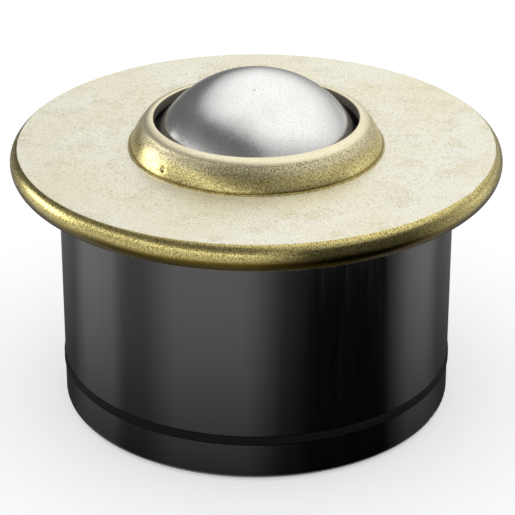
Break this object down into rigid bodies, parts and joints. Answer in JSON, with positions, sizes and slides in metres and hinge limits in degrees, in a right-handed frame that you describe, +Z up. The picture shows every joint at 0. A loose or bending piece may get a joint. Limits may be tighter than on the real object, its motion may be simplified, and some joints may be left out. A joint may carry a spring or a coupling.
{
  "type": "ball transfer unit",
  "caption": "Flanged drop-in ball transfer unit: a steel load ball on a bed of support balls in a black drawn body with a rolled, zinc-plated cap.",
  "frame": {"origin": "on the axis, in the plane of the flange's underside, which seats on the table", "axes": "+Z up along the axis, out through the load ball; X and Y are free, because the unit is round"},
  "size_m": [0.048, 0.048, 0.0339],
  "materials": {
    "plated_cap": "pale yellow zinc passivate, satin",
    "black_body": "black, semi-gloss",
    "cup_steel": "hardened and ground",
    "ball_steel": "lapped steel ball, satin polish",
    "ring_rubber": "matt black"
  },
  "bodies": {
    "housing": {"cap": "plated_cap", "body_cup": "black_body", "ball_cup": "cup_steel", "grip_ring": "ring_rubber"},
    "ball_bed": {"support_ball_01": "ball_steel", "support_ball_02": "ball_steel", "support_ball_03": "ball_steel", "support_ball_04": "ball_steel", "support_ball_05": "ball_steel", "support_ball_06": "ball_steel", "support_ball_07": "ball_steel", "support_ball_08": "ball_steel", "support_ball_09": "ball_steel", "support_ball_10": "ball_steel", "support_ball_11": "ball_steel", "support_ball_12": "ball_steel", "support_ball_13": "ball_steel", "support_ball_14": "ball_steel", "support_ball_15": "ball_steel", "support_ball_16": "ball_steel", "support_ball_17": "ball_steel", "support_ball_18": "ball_steel", "support_ball_19": "ball_steel", "support_ball_20": "ball_steel", "support_ball_21": "ball_steel", "support_ball_22": "ball_steel", "support_ball_23": "ball_steel", "support_ball_24": "ball_steel", "support_ball_25": "ball_steel", "support_ball_26": "ball_steel", "support_ball_27": "ball_steel", "support_ball_28": "ball_steel", "support_ball_29": "ball_steel", "support_ball_30": "ball_steel", "support_ball_31": "ball_steel", "support_ball_32": "ball_steel", "support_ball_33": "ball_steel", "support_ball_34": "ball_steel", "support_ball_35": "ball_steel", "support_ball_36": "ball_steel", "support_ball_37": "ball_steel", "support_ball_38": "ball_steel", "support_ball_39": "ball_steel", "support_ball_40": "ball_steel", "support_ball_41": "ball_steel", "support_ball_42": "ball_steel", "support_ball_43": "ball_steel", "support_ball_44": "ball_steel", "support_ball_45": "ball_steel", "support_ball_46": "ball_steel", "support_ball_47": "ball_steel", "support_ball_48": "ball_steel", "support_ball_49": "ball_steel"},
    "load_ball": {"load_ball": "ball_steel"}
  },
  "joints": [
    {"name": "bed_turn", "type": "hinge", "parent": "housing", "child": "ball_bed", "pos_m": [0, 0, -0.00121], "axis": [0, 0, 1], "continuous": true},
    {"name": "ball_roll", "type": "hinge", "parent": "ball_bed", "child": "load_ball", "pos_m": [0, 0, -0.00121], "axis": [1, 0, 0], "continuous": true}
  ]
}
